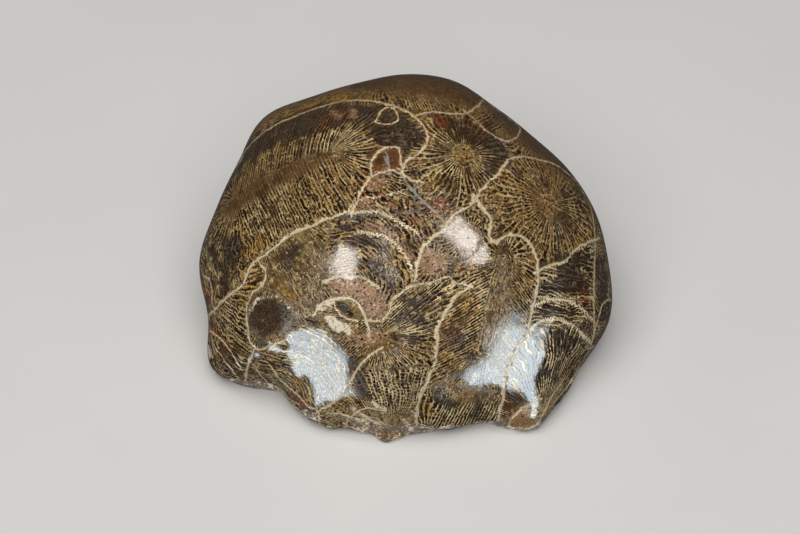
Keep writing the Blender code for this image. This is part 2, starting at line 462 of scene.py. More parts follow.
REAR_DASH, REAR_NET, REAR_TONE, REAR_BRIGHT, REAR_REACH = 1.9, 0.85, 0.35, 0.35, 1.0

DOME_MIDDLE = Vector((0, 0, 16)) * MM


def heading(bearing, elevation):
    """Unit vector at a bearing (0 is +X, 90 is +Y) and an elevation, in degrees."""
    b, e = math.radians(bearing), math.radians(elevation)
    return Vector((math.cos(b) * math.cos(e), math.sin(b) * math.cos(e), math.sin(e)))


def from_middle(bearing, elevation):
    """(place, normal) on the skin in a direction from the dome's middle."""
    place, normal, _, _ = tree.ray_cast(DOME_MIDDLE, heading(bearing, elevation))
    return place, normal


class Coral:
    def __init__(self, ends, core, septa, reach, lean, rings, dash, net, tone, bright, seeds=()):
        self.ends = [np.array(place) for place, _ in ends]
        self.normal = np.mean([normal for _, normal in ends], axis=0)
        self.normal /= np.linalg.norm(self.normal)
        self.core, self.septa, self.reach, self.lean = core, septa, reach, lean
        self.rings, self.dash, self.net, self.tone, self.bright = rings, dash, net, tone, bright
        self.seeds = list(seeds) or self.ends + [sum(self.ends) / len(self.ends)]

    def track(self, points):
        """(how far from the core, angle round the track, gap between septa) of points."""
        start = self.ends[0]
        core = self.ends[-1] - start
        core -= self.normal * (core @ self.normal)
        length = np.linalg.norm(core)
        east = core / length if length > WELD else np.cross((0, 1, 0), self.normal)
        east /= np.linalg.norm(east)
        north = np.cross(self.normal, east)
        away = points - start
        x, y = away @ east, away @ north
        x = x + self.lean * np.abs(y)
        t = np.clip(x, 0, length)
        off = x - t
        far = np.hypot(off, y)
        lap = 2 * length + math.tau * TRACK_BEND
        bend = TRACK_BEND
        round_end = length + (np.pi / 2 - np.arctan2(y, off)) * bend
        round_start = 2 * length + np.pi * bend + (np.arctan2(y, -off) + np.pi / 2) * bend
        straight = np.where(y >= 0, t, 2 * length + np.pi * bend - t)
        way = np.where(off > 0, round_end, np.where(off < 0, round_start, straight))
        gap = lap / self.septa * np.where(off == 0, 1.0, np.maximum(far, 0.3 * bend) / bend)
        return far, way / lap * math.tau, gap


corals = [
    Coral([on_stone(*spot) for spot in ends], *rest, seeds=[np.array(on_stone(*SEEDS[name])[0])] if name in SEEDS else ())
    for name, (ends, *rest) in CORALS.items()
]
corals += [
    Coral([from_middle(*a), from_middle(*b)], core, septa, REAR_REACH, 0.0, rings, REAR_DASH, REAR_NET, REAR_TONE, REAR_BRIGHT)
    for a, b, core, septa, rings in REAR_CORALS.values()
]
print(len(CORALS), "corals at the front,", len(REAR_CORALS), "behind")

# %% [markdown]
# ## Whose ground is it?
# Each coral grows out over the skin from its core until it meets a neighbour. That is a shortest-path
# search over the mesh's edges from all cores at once, in which an edge that crosses a drawn wall costs a
# great deal. The corals then fill their cells, wherever the walls are drawn.

# %% Grow the corals over the mesh
WALL_TOLL = 60 * MM
WALL_NEAR = 1.2 * MM

edges = np.empty(len(head.data.edges) * 2, dtype=np.int64)
head.data.edges.foreach_get("vertices", edges)
edges = edges.reshape(-1, 2)
edge_cost = np.linalg.norm(skin[edges[:, 0]] - skin[edges[:, 1]], axis=1)
for layer in wall_layers:
    a, b = layer.signed[edges[:, 0]], layer.signed[edges[:, 1]]
    beside = np.maximum(layer.plain[edges[:, 0]], layer.plain[edges[:, 1]]) < WALL_NEAR
    edge_cost[(a * b < 0) & beside] += WALL_TOLL
neighbours = [[] for _ in skin]
for (a, b), cost in zip(edges.tolist(), edge_cost.tolist()):
    neighbours[a].append((b, cost))
    neighbours[b].append((a, cost))


def grow(reaches, seeds):
    """(owner, cost) of each vertex: the coral that gets there cheapest, and at what cost."""
    owner = np.full(len(skin), -1)
    best = np.full(len(skin), np.inf)
    queue = []
    for index, places in enumerate(seeds):
        for place in places:
            vert = int(np.linalg.norm(skin - place, axis=1).argmin())
            queue.append((0.0, vert, index))
    heapq.heapify(queue)
    while queue:
        cost, vert, index = heapq.heappop(queue)
        if cost >= best[vert]:
            continue
        best[vert], owner[vert] = cost, index
        for other, step in neighbours[vert]:
            total = cost + step / reaches[index]
            if total < best[other]:
                heapq.heappush(queue, (total, other, index))
    return owner, best


owner, _ = grow([coral.reach for coral in corals], [coral.seeds for coral in corals])
print("largest coral covers", np.bincount(owner).max(), "of", len(skin), "vertices")

# %% [markdown]
# ## Walls behind
# Behind, no wall was drawn, so the walls follow from the cells. As on a map, the corals are painted so
# that neighbours differ, each paint is written as a binary number, and each of its digits is smeared out
# over the mesh. A smeared digit passes through nought right on the border, with a steady slope across
# it, so it serves as a signed distance, and it has none of the mesh's zigzags.

# %% Paint the map and smear its digits
SMEARING = 7  # passes
SMEAR_SLOPE = 1.1 * MM  # distance from a border at which a smeared digit has grown to 1
REAR_WIDTH = 0.3

a, b = owner[edges[:, 0]], owner[edges[:, 1]]
touching = set(map(tuple, np.sort(np.stack([a, b], axis=1)[a != b], axis=1).tolist()))
paint = {}
for coral in range(len(corals)):
    taken = {paint.get(x + y - coral) for x, y in touching if coral in (x, y)}
    paint[coral] = next(number for number in range(len(corals)) if number not in taken)
digits = max(paint.values()).bit_length()
degree = np.bincount(edges.ravel(), minlength=len(skin))
rear_layers = []
for digit in range(digits):
    smeared = np.array([(paint[coral] >> digit & 1) * 2.0 - 1.0 for coral in range(len(corals))])[owner]
    for _ in range(SMEARING):
        total = np.bincount(edges[:, 0], smeared[edges[:, 1]], len(skin))
        total += np.bincount(edges[:, 1], smeared[edges[:, 0]], len(skin))
        smeared = (smeared + total / degree) / 2
    rear_layers.append(smeared * SMEAR_SLOPE)
print(max(paint.values()) + 1, "paints for", len(corals), "corals,", digits, "digits")

# %% [markdown]
# ## Patches of colour
# Iron and mud stained the stone in patches: grey-brown bands, pink and red fillings, ochre beside the
# walls, and milky calcite. Each patch is a thick stroke or two on the chart, soft at its edges, and the
# shader breaks those edges up with noise.

# %% The patches, as seen: points and radii in pixels
PATCHES = {
    "dark": (
        ((212, 176, 7), (240, 158, 9), (262, 143, 11), (290, 128, 12), (320, 117, 11), (350, 113, 10),
         (375, 113, 9), (398, 121, 11), (412, 137, 12)),
        ((372, 128, 8), (392, 135, 14), (404, 146, 12)),
        ((440, 122, 6), (462, 126, 9), (484, 139, 10), (500, 151, 10), (503, 160, 8), (490, 172, 5)),
        ((268, 318, 20),),
        ((212, 250, 4), (218, 270, 6), (232, 262, 7), (226, 240, 5), (240, 240, 4)),
        ((214, 285, 4), (228, 278, 6), (222, 296, 4)),
        ((560, 262, 6), (575, 262, 10), (560, 284, 10), (580, 284, 8), (548, 290, 8)),
        ((575, 340, 5), (560, 350, 5)), ((545, 372, 5), (556, 380, 4)),
        ((536, 350, 5), (534, 372, 7), (530, 392, 6)), ((548, 312, 3), (572, 318, 4)), ((548, 334, 3), (568, 338, 4)),
        ((222, 345, 4), (236, 366, 5)), ((262, 378, 3), (280, 392, 3), (298, 404, 3)),
        ((352, 362, 6), (362, 380, 8), (360, 398, 6)), ((402, 318, 5), (422, 322, 5)), ((398, 336, 4), (418, 340, 4)),
        ((342, 217, 5), (360, 217, 5), (376, 222, 3)),
        ((343, 226, 5), (366, 226, 3)),
        ((354, 237, 5), (370, 240, 5), (386, 246, 4)),
        ((372, 262, 6), (384, 274, 7), (392, 288, 5)),
        ((402, 298, 4), (416, 303, 4)),
        ((452, 334, 6), (448, 345, 5), (462, 338, 5)),
        ((600, 262, 6), (602, 290, 6), (604, 318, 6)),
        ((506, 396, 6), (520, 402, 7), (500, 408, 4)), ((478, 404, 5), (474, 416, 4)),
        ((300, 246, 5), (286, 262, 5)),
        ((440, 398, 6), (452, 404, 5)),
    ),
    "pink": (
        ((340, 286, 8), (355, 288, 9), (370, 298, 11), (376, 310, 8)),
        ((354, 333, 6), (368, 340, 8), (380, 336, 6)),
        ((434, 262, 13),),
        ((369, 186, 5), (382, 180, 6)),
        ((357, 204, 3), (370, 202, 5)), ((386, 208, 4),),
        ((368, 224, 4), (378, 228, 4), (392, 238, 4), (400, 247, 4), (409, 259, 4)),
        ((516, 420, 8), (526, 414, 7)),
        ((333, 113, 2.5), (338, 116, 3)), ((352, 110, 2), (356, 117, 2.5)),
    ),
    "red": (
        ((378, 157, 7), (377, 167, 7)),
        ((394, 154, 6), (396, 165, 6)),
        ((424, 122, 3), (428, 136, 3), (427, 150, 2)),
        ((444, 124, 4), (438, 121, 3)),
        ((206, 288, 3), (209, 302, 3)),
        ((440, 202, 5), (445, 206, 4)),
        ((584, 298, 5), (578, 303, 3)),
        ((212, 327, 4), (222, 340, 2), (230, 350, 2)),
        ((306, 406, 3), (292, 395, 3)),
        ((502, 178, 3), (500, 166, 3)),
        ((590, 372, 3), (580, 385, 3)),
    ),
    "ochre": (
        ((256, 270, 6), (252, 285, 7), (246, 298, 6)),
        ((278, 286, 8), (290, 296, 7)),
        ((258, 358, 8), (272, 366, 8)), ((296, 384, 5), (306, 398, 4)),
        ((460, 298, 11), (470, 312, 11), (452, 324, 9)),
        ((450, 388, 8), (468, 398, 7)),
        ((400, 262, 5), (386, 266, 6), (374, 256, 4)),
        ((350, 400, 6), (362, 408, 5)), ((440, 350, 5), (450, 362, 6)), ((424, 404, 5), (432, 416, 5)),
        ((582, 236, 5), (570, 246, 5)),
        ((588, 200, 4), (590, 230, 4)),
        ((440, 176, 7), (424, 186, 6)),
        ((262, 240, 7), (250, 252, 6)),
        ((282, 122, 6), (310, 108, 6), (345, 97, 5)),
        ((322, 318, 4), (330, 312, 3)), ((382, 116, 4), (391, 116, 4)),
        ((396, 210, 7), (412, 222, 8), (424, 236, 7)), ((372, 192, 5), (392, 196, 6)),
    ),
    "milky": (
        ((352, 408, 1), (366, 418, 1.5), (380, 424, 1.5)), ((372, 402, 1), (384, 410, 1.5)), ((404, 420, 1), (410, 428, 2)),
        ((512, 430, 1.5), (528, 431, 2), (540, 424, 2)), ((206, 346, 1), (210, 356, 1.5)), ((374, 346, 1.5), (366, 330, 1)),
        ((318, 309, 2), (326, 304, 2.5), (336, 301, 2)),
        ((328, 316, 3.5), (336, 325, 4.5), (348, 330, 4)), ((321, 311, 2), (327, 306, 2)),
        ((388, 111, 0.5), (396, 116, 0.5)),
        ((247, 330, 0.1), (248, 312, 0.2), (257, 299, 0.3), (276, 296, 0.1), (290, 308, 0.1)),
    ),
    "crust": (
        ((332, 414, 2), (350, 420, 3), (364, 428, 5), (380, 438, 6), (394, 443, 6), (404, 436, 3), (420, 430, 2)),
        ((440, 429, 2), (470, 428, 3), (490, 426, 2), (508, 432, 2), (522, 436, 3), (536, 433, 3)),
        ((206, 366, 1), (222, 385, 2), (236, 389, 3), (250, 392, 4), (264, 389, 4)),
    ),
    "hollow": (((337, 303, 3), (344, 308, 4), (351, 315, 3)),),
    "russet": (
        ((352, 188, 6), (372, 192, 8), (392, 202, 8), (412, 218, 8), (428, 236, 6)),
        ((430, 206, 8), (444, 205, 8)),
        ((372, 226, 5), (392, 238, 6), (404, 250, 6), (411, 262, 5)),
        ((452, 330, 7), (447, 346, 6)),
        ((586, 300, 6), (592, 320, 5)), ((566, 372, 5), (580, 360, 5)),
        ((236, 376, 4), (222, 356, 4)), ((300, 398, 4), (318, 416, 4)),
        ((498, 398, 6), (512, 410, 7)),
        ((466, 120, 5), (484, 132, 5)), ((348, 112, 5), (322, 122, 5)),
    ),
    "smooth": (
        ((356, 84, 5), (370, 82, 8), (400, 80, 11), (430, 82, 12), (455, 90, 11), (472, 98, 8)),
        ((500, 112, 6), (520, 128, 9), (545, 148, 10), (560, 160, 10), (578, 178, 7)),
        ((226, 212, 4), (240, 200, 6), (262, 186, 8), (285, 174, 8), (310, 162, 7), (328, 155, 3)),
        ((378, 158, 8), (394, 158, 8)),
    ),
    "bright": (  # fresh white septa
        ((560, 300, 10), (580, 320, 14), (575, 350, 16), (555, 385, 14)),
        ((440, 418, 9), (465, 416, 11), (490, 412, 8)),
        ((388, 372, 5), (386, 400, 5), (388, 420, 5)),
        ((440, 300, 8), (452, 290, 8)),
        ((330, 140, 8), (350, 136, 8)),
        ((450, 170, 10), (430, 180, 8)),
        ((262, 366, 6), (290, 388, 6)), ((212, 246, 7), (216, 272, 7)), ((516, 408, 8), (536, 412, 8)),
        ((486, 290, 8), (480, 320, 8)),
        ((395, 310, 10), (410, 330, 12)),
    ),
    "mottled": (  # ground where the plates can't be told apart
        ((300, 248, 20), (285, 274, 22), (298, 300, 20), (318, 268, 18)),
        ((268, 318, 22),),
        ((338, 287, 10), (355, 289, 11), (372, 299, 14), (378, 311, 10)),
        ((352, 333, 9), (368, 341, 11), (382, 337, 9)),
        ((434, 262, 14),),
        ((440, 204, 9),), ((380, 182, 6),),
        ((506, 268, 10), (500, 300, 13), (490, 338, 10)),
        ((440, 392, 8), (466, 394, 11), (490, 396, 7)),
        ((466, 240, 14),),
        ((385, 160, 14),),
        ((520, 418, 15),),
        ((380, 262, 9), (392, 276, 8)),
        ((400, 84, 14), (450, 92, 12)),
    ),
}
PIXELS_PER_MM = PIXELS_PER_UNIT / CAMERA_DISTANCE * MM
MOST_DEPTH = 4.0  # mm: depths beyond this, either way, are all the same
BACK_PATCHES = {  # for the side that the chart can't reach: size in mm, threshold and seed of a noise
    "dark": (17, 0.12, 1), "pink": (9, 0.4, 2), "red": (6, 0.52, 3), "ochre": (12, 0.22, 4), "milky": (6, 0.55, 5),
    "mottled": (15, 0.1, 6), "bright": (14, 0.1, 7), "russet": (10, 0.2, 8),
}


def depth_in(strokes):
    """How far inside thick strokes each vertex is seen, in mm, and negative outside."""
    depth = np.full(len(skin), -FAR / WELD)
    for stroke in strokes:
        stroke = np.array(stroke, float)
        ends = zip(stroke, stroke[1:]) if len(stroke) > 1 else [(stroke[0], stroke[0])]
        for a, b in ends:
            along = b[:2] - a[:2]
            t = np.clip((seen_at - a[:2]) @ along / max(along @ along, 1e-9), 0, 1)
            gap = np.linalg.norm(seen_at - a[:2] - t[:, None] * along, axis=1)
            depth = np.maximum(depth, a[2] + t * (b[2] - a[2]) - gap)
    return np.clip(depth / PIXELS_PER_MM, -MOST_DEPTH, MOST_DEPTH)


def depth_behind(size, threshold, seed):
    """The same from noise, for the back."""
    shift = Vector((seed * 31.7, seed * 11.3, seed * 5.1))
    waves = np.array([noise.noise(Vector(place) / (size * MM) + shift) for place in skin])
    return np.clip((waves - threshold) * size, -MOST_DEPTH, MOST_DEPTH)


in_view = np.clip((outward @ np.array(TO_CAMERA) - 0.02) / 0.1, 0, 1)  # 0 behind, 1 where the chart reaches
patches = {}
for name, strokes in PATCHES.items():
    behind_depth = depth_behind(*BACK_PATCHES[name]) if name in BACK_PATCHES else -MOST_DEPTH
    patches[name] = in_view * depth_in(strokes) + (1 - in_view) * behind_depth
    print(name, "covers", int((patches[name] > 0).sum()), "vertices")

# %% [markdown]
# ## From chart to attributes
# Numbers on the mesh are called attributes. A shader can read them by name, so everything that was
# worked out above is written onto the skin: three numbers fit in one vector attribute.

# %% Write the attributes
def write(name, *columns):
    """A vector attribute of up to three numbers a vertex."""
    values = np.zeros((len(skin), 3), np.float32)
    for index, column in enumerate(columns):
        values[:, index] = column
    head.data.attributes.new(name, "FLOAT_VECTOR", "POINT").data.foreach_set("vector", values.ravel())


far, angle, gap = np.zeros((3, len(skin)))
traits = np.array([(c.septa, c.rings, c.dash, c.net, c.tone, c.bright, c.core) for c in corals])[owner].T
for index, coral in enumerate(corals):
    mine = np.flatnonzero(owner == index)
    far[mine], angle[mine], gap[mine] = coral.track(skin[mine])
write("around_core", far / MM * np.cos(angle), far / MM * np.sin(angle), gap / MM)
write("coral_kind", traits[0], traits[1], traits[2])
write("coral_tone", traits[3], traits[4], traits[5])
write("coral_core", traits[6], np.maximum(patches["crust"], np.clip(crust_depth / MM, -MOST_DEPTH, MOST_DEPTH)),
      patches["mottled"])
for stem, layers in (("wall", wall_layers), ("vein", vein_layers), ("growth", growth_layers)):
    for index, layer in enumerate(layers):
        write(f"{stem}_{index}", layer.signed / MM, layer.plain / MM, layer.width)
write("patch_a", patches["dark"], patches["pink"], patches["red"])
write("patch_b", patches["ochre"], patches["milky"], patches["hollow"])
write("patch_c", patches["smooth"], patches["bright"], patches["russet"])
for index, signed in enumerate(rear_layers):
    write(f"rear_{index}", signed / MM, in_view * MOST_DEPTH, REAR_WIDTH)
print("attributes:", [a.name for a in head.data.attributes if a.data_type == "FLOAT_VECTOR"])

# %% [markdown]
# ## Shader sums in plain Python
# A shader is a graph of nodes. Wrapping one output in a small class lets sums be written as sums: each
# operator adds its own Math node. One more method adds any other kind of node.

# %% Fields and recipes
class Field:
    """One number or colour that varies over the skin: an output of a shader node."""

    def __init__(self, recipe, socket):
        self.recipe, self.socket = recipe, socket

    def maths(self, operation, *others):
        sockets = dict(enumerate((self, *others)))
        return self.recipe.node("ShaderNodeMath", {"operation": operation}, sockets)

    def __add__(self, other):
        return self.maths("ADD", other)

    def __sub__(self, other):
        return self.maths("SUBTRACT", other)

    def __rsub__(self, other):
        return self.recipe.node("ShaderNodeMath", {"operation": "SUBTRACT"}, {0: other, 1: self})

    def __mul__(self, other):
        return self.maths("MULTIPLY", other)

    def __truediv__(self, other):
        return self.maths("DIVIDE", other)

    __radd__ = __add__
    __rmul__ = __mul__

    def __abs__(self):
        return self.maths("ABSOLUTE")

    def __pow__(self, power):
        return self.maths("POWER", power)

    def __mod__(self, whole):
        return self.maths("FLOORED_MODULO", whole)

    def rise(self, low, high):
        """0 below low, 1 above high, and an eased step between them."""
        return self.recipe.node(
            "ShaderNodeMapRange", {"interpolation_type": "SMOOTHSTEP"}, {0: self, 1: low, 2: high}
        )

    def highest(self, other):
        return self.maths("MAXIMUM", other)

    def lowest(self, other):
        return self.maths("MINIMUM", other)


class Recipe:
    """One material and the nodes that make it."""

    def __init__(self, name):
        self.material = bpy.data.materials.new(name)
        self.material.use_nodes = True
        self.nodes = self.material.node_tree.nodes
        self.links = self.material.node_tree.links
        self.shader = self.nodes["Principled BSDF"]
        self.place = self.node("ShaderNodeTexCoord", out="Object")

    def node(self, kind, settings=None, sockets=None, out=0):
        node = self.nodes.new(kind)
        for name, value in (settings or {}).items():
            setattr(node, name, value)
        for key, value in (sockets or {}).items():
            self.join(value, node.inputs[key])
        return Field(self, node.outputs[out])

    def join(self, value, socket):
        if isinstance(value, Field):
            self.links.new(value.socket, socket)
        else:
            socket.default_value = value

    def numbers(self, name):
        """The three numbers of a vector attribute."""
        vector = self.node("ShaderNodeAttribute", {"attribute_name": name}, out="Vector")
        parts = self.node("ShaderNodeSeparateXYZ", sockets={0: vector}).socket.node
        return [Field(self, output) for output in parts.outputs]

    def vector(self, x, y, z):
        return self.node("ShaderNodeCombineXYZ", sockets={0: x, 1: y, 2: z})

    def noise(self, per_mm, detail=2.0, place=None, scale=None):
        """Noise about 0, with so many waves to the millimetre, or on a place of its own."""
        sockets = {"Vector": place or self.place, "Scale": scale or per_mm / MM, "Detail": detail}
        return self.node("ShaderNodeTexNoise", sockets=sockets) - 0.5

    def mix(self, colour, other, share):
        sockets = {"Factor": share, "A": colour, "B": other}
        node = self.nodes.new("ShaderNodeMix")
        node.data_type = "RGBA"
        for name, value in sockets.items():
            socket = next(s for s in node.inputs if s.name == name and s.enabled)
            self.join(value, socket)
        return Field(self, next(s for s in node.outputs if s.enabled))

    def finish(self, sockets):
        for name, value in sockets.items():
            self.join(value, self.shader.inputs[name])
        return self.material


def linear(red, green, blue):
    """A colour given as it looks on a screen, 0 to 255, as the linear colour that a shader takes."""
    return (*(((c / 255 + 0.055) / 1.055) ** 2.4 if c > 10 else c / 255 / 12.92 for c in (red, green, blue)), 1.0)


print("a mid grey is", [round(c, 3) for c in linear(128, 128, 128)])

# %% [markdown]
# ## The stone's colours
# The stone is calcite: cream where it is clean, tan to brown where iron stained it, and nearly black in
# the blisters that mud filled. Colours are named once here, as they look on a screen.

# %% Colours
CREAM, CREAM_SHADE = linear(232, 217, 182), linear(184, 156, 110)
TAN, SEPTUM, PALE_SEPTUM = linear(120, 92, 52), linear(156, 124, 72), linear(218, 194, 144)
BROWN, UMBER, PIT = linear(88, 64, 36), linear(54, 38, 23), linear(22, 15, 10)
DARK_FILL, GREY_SEPTUM = linear(56, 46, 38), linear(98, 85, 70)
CRUST, CRUST_PALE, CRUST_DARK = linear(164, 134, 92), linear(236, 224, 196), linear(84, 58, 34)
CRUST_RUST = linear(132, 84, 46)
PINK, PINK_PALE, PINK_SPOT = linear(132, 94, 70), linear(172, 134, 104), linear(50, 42, 38)
RUST_FILL, RUST_SEPTUM = linear(66, 40, 24), linear(124, 82, 50)
RED, RED_PALE = linear(112, 56, 28), linear(146, 84, 46)
RUSSET, RUSSET_PALE = linear(60, 37, 20), linear(92, 62, 34)
OCHRE, OCHRE_PALE = linear(114, 78, 24), linear(176, 134, 54)
MILKY, VEIN_GREY = linear(236, 226, 204), linear(158, 152, 146)
RING_PITCH = 0.78  # mm between growth rings


def draw_pattern(recipe):
    """(colour, pits, wall, grain, raw) of the cut corals."""
    x, y, gap = recipe.numbers("around_core")
    septa, ringed, dash = recipe.numbers("coral_kind")
    net, tone, bright = recipe.numbers("coral_tone")
    core, crust, mottled = recipe.numbers("coral_core")
    dark, pink, red = recipe.numbers("patch_a")
    ochre, milky, hollow = recipe.numbers("patch_b")
    smooth, fresh, russet = recipe.numbers("patch_c")

    broad = recipe.noise(0.1, 2.0)
    slow = recipe.noise(0.4, 2.0)
    quick = recipe.noise(1.5, 2.0)
    grit = recipe.noise(2.0, 2.0)
    grain = recipe.noise(4.5, 3.0)
    depth_back = recipe.node("ShaderNodeSeparateXYZ", sockets={0: recipe.place}, out=1)
    front = (depth_back / MM * -1.0 + broad * 20).rise(-14.0, 16.0)

    # Where the point lies among the septa: across them and along them, or across the growth rings. Noise
    # that changes quickly across the septa and slowly along them spaces them unevenly.
    far = (x * x + y * y) ** 0.5
    rings = (ringed + slow * 1.5 - far).rise(-0.02, 0.02)
    turn = y.maths("ARCTAN2", x) / math.tau
    circle = septa / (far.highest(0.01) * math.tau)
    fine, long = 0.8 - rings * 0.65, 0.12 + rings * 0.9
    u, v = x * circle * fine, y * circle * fine
    uneven = recipe.noise(0, 1.0, recipe.vector(u, v, far * long), scale=1.0)
    streak = recipe.noise(0, 3.0, recipe.vector(u, v, far * long + tone * 40), scale=1.0)
    fibre = recipe.noise(0, 2.0, recipe.vector(u * 2.7, v * 2.7, far * long * 4.0), scale=1.0)
    calm = (far * 0.075).lowest(1.0)  # septa are straight near the core
    spoke = turn * septa + (broad * 4.0 + slow * 1.0 + quick * 0.45) * calm
    ring = far / RING_PITCH + broad * 5.0 + slow * 1.4 + quick * 0.5
    # Where septa stand far apart, more of them come in between.
    split = (gap + slow * 0.9).rise(1.46, 1.5) * (1.0 - rings)
    across = (spoke + rings * (ring - spoke) + uneven * calm * 1.5) * (1.0 + split)
    dash = dash * (1.0 - split * 0.35)
    way = far + rings * (turn * septa * gap - far)
    stagger = recipe.node("ShaderNodeTexWhiteNoise", {"noise_dimensions": "1D"}, {"W": across.maths("FLOOR")})
    along = way / dash + stagger * 7.0 + quick * 0.9
    side = abs(across % 1.0 - 0.5) * 2.0
    end = abs(along % 1.0 - 0.5) * 2.0
    own = recipe.vector(across.maths("FLOOR"), along.maths("FLOOR"), septa)
    blister = recipe.node("ShaderNodeTexWhiteNoise", {"noise_dimensions": "3D"}, {"Vector": own})
    plate = recipe.node("ShaderNodeTexWhiteNoise", {"noise_dimensions": "1D"}, {"W": (across + 0.5).maths("FLOOR")})

    def patch(depth, rough=1.0, soft=0.35):
        """A patch with its edge broken up, along the septa most of all."""
        return (depth + (slow * 4.0 + quick * 2.5 + streak * 4.0) * rough).rise(-soft, soft)

    is_dark, is_pink, is_red = patch(dark, 0.8, 0.6), patch(pink, 0.9, 0.5), patch(red, 0.7)
    is_ochre, is_milky = patch(ochre, 1.2, 1.0), patch(milky, 0.5)
    is_hollow, is_smooth = patch(hollow, 0.12, 0.15), smooth.rise(-1.5, 0.8)
    is_fresh = fresh.rise(-1.5, 1.5)
    is_russet = patch(russet, 1.1, 0.8)
    is_mottled = (mottled + slow * 3.0 + quick * 1.5).rise(-1.0, 1.0)

    # Septa: thin pale lines, some stronger than others. Between them, blisters: the net closes each one
    # off, and mud fills some. On mottled ground neither can be made out.
    crisp = gap.rise(0.2, 0.5).highest(rings)
    closed = net * (far - core).rise(1.5, 5.0).highest(rings)
    opening = 1.0 - side * side - closed * (end ** 6.0) + slow * 0.7 + quick * 0.6 + streak * 0.6 + grit * 0.45
    blisters = opening.rise(0.3, 0.54)
    fleck = streak * 1.6 + fibre * 1.6 + quick * 1.1 + grit * 2.4
    blisters = blisters + is_mottled * 0.85 * ((0.08 - fleck).rise(-0.22, 0.22) - blisters)
    muddy = (blister * 0.8 + tone * 0.9 + streak * 2.2 + broad * 1.6 + front * 0.52 - is_smooth * 0.6).rise(0.68, 0.98)
    holes = opening.rise(0.55, 0.78) * muddy * (1.0 - is_mottled * 0.8) * (1.0 - is_dark * 0.7)

    shine = (
        bright + front * 0.34 + is_fresh * 0.6 + quick * 1.2 + grit * 1.2 + streak * 1.6 + broad * 1.4
        + (plate - 0.5) * 0.6
    ).rise(0.15, 1.1)
    septum = recipe.mix(SEPTUM, PALE_SEPTUM, shine)
    faint = (streak * 2.4 + slow * 1.4 + (plate - 0.5) * 0.7 + 0.4 - is_fresh * 0.4 - front * 0.15).rise(0.1, 0.8)
    septum = recipe.mix(septum, TAN, faint * 0.75)
    fill = recipe.mix(TAN, BROWN, (blister + 0.5 + fibre).rise(0.0, 0.8))
    fill = recipe.mix(fill, UMBER, (tone + front * 0.25 + blister * 0.4 + slow * 2.0 + streak + fibre).rise(0.35, 1.0))
    rust = (is_ochre * 0.95).highest((slow * 1.4 + broad * 1.6).rise(0.14, 0.5) * 0.6)
    fill = recipe.mix(fill, OCHRE, rust * 0.85)
    septum = recipe.mix(septum, OCHRE_PALE, rust * 0.8)
    fill = recipe.mix(fill, recipe.mix(DARK_FILL, UMBER, (blister * 0.7 + streak * 2.5).rise(0.2, 0.8)), is_dark * 0.9)
    grey = (streak * 3.0 + fibre * 2.0 + quick + 0.3).rise(0.1, 1.0)
    septum = recipe.mix(septum, recipe.mix(DARK_FILL, GREY_SEPTUM, grey), is_dark * 0.9)
    fill = recipe.mix(fill, RUST_FILL, is_russet * 0.8)
    septum = recipe.mix(septum, RUST_SEPTUM, is_russet * 0.85)
    spots = (quick + grit * 1.6).rise(0.08, 0.24)
    fill = recipe.mix(fill, recipe.mix(PINK, PINK_SPOT, spots), is_pink * 0.9)
    septum = recipe.mix(septum, recipe.mix(PINK_PALE, PINK_SPOT, spots * 0.6), is_pink * 0.85)
    fill = recipe.mix(fill, RED, is_red * 0.9)
    septum = recipe.mix(septum, RED_PALE, is_red * 0.85)
    fill = recipe.mix(fill, RUSSET, is_smooth * 0.7)
    septum = recipe.mix(septum, RUSSET_PALE, is_smooth * 0.8)

    pits = blisters * crisp * (1.0 - is_smooth * 0.3) * (1.0 - is_pink * 0.4)
    hair = (0.25 - side).rise(-0.1, 0.15) * (uneven * 3.0 + quick + 0.3).rise(0.2, 0.7) * crisp * (1.0 - is_mottled)
    colour = recipe.mix(septum, fill, pits + (1.0 - crisp) * (0.6 + streak * 2.0))
    plain = (1.0 - is_pink * 0.75) * (1.0 - is_red * 0.8) * (1.0 - is_smooth * 0.6)
    colour = recipe.mix(colour, PIT, holes * crisp * plain * 0.9)
    colour = recipe.mix(colour, septum, hair * 0.45)
    disc = (core - far + slow * 1.5 + quick * 0.6).rise(-0.12, 0.12)
    colour = recipe.mix(colour, recipe.mix(SEPTUM, BROWN, (grit * 2.0 + quick * 1.6 + 0.5).rise(0.2, 0.8)), disc * 0.9)
    rim = (0.16 - abs(core - far + slow * 1.5 + quick * 0.6)).rise(-0.1, 0.1) * core.rise(0.5, 1.0)
    colour = recipe.mix(colour, PALE_SEPTUM, rim * (slow * 3.0 + 0.4).rise(0.1, 0.8) * 0.5)
    colour = recipe.mix(colour, recipe.mix(MILKY, SEPTUM, (quick + grit).rise(0.05, 0.4)), is_milky * 0.92)
    colour = recipe.mix(colour, recipe.mix(PIT, DARK_FILL, (fibre * 2.0 + 0.5).rise(0.1, 0.8)), is_hollow)
    lively = (0.25 + front * 0.75) * (1.0 - is_smooth * 0.7)
    pock = (grit + grain * 0.5 + quick * 0.3).rise(0.06, 0.2) * lively * (1.0 - is_milky * 0.7)
    colour = recipe.mix(colour, PIT, pock)
    glint = (quick * 0.4 - grit - grain * 0.4).rise(0.09, 0.24) * lively * (1.0 - is_dark * 0.75)
    colour = recipe.mix(colour, PALE_SEPTUM, glint * 0.85)

    # Mud darkened whole tracts of the stone, most of all towards the foot.
    murk = (slow * 1.8 + broad * 1.6 + streak * 1.2 + quick * 0.6).rise(0.04, 0.5) * (0.25 + front * 0.4)
    colour = recipe.mix(colour, UMBER, murk * (1.0 - is_milky) * (1.0 - is_pink * 0.6))

    # Walls, veins and growth lines wander, and the septa set teeth in them.
    wander = slow * 1.1 + quick * 0.85
    spoke_side = abs(spoke % 1.0 - 0.5) * 2.0
    teeth = spoke_side.rise(0.5, 0.95)

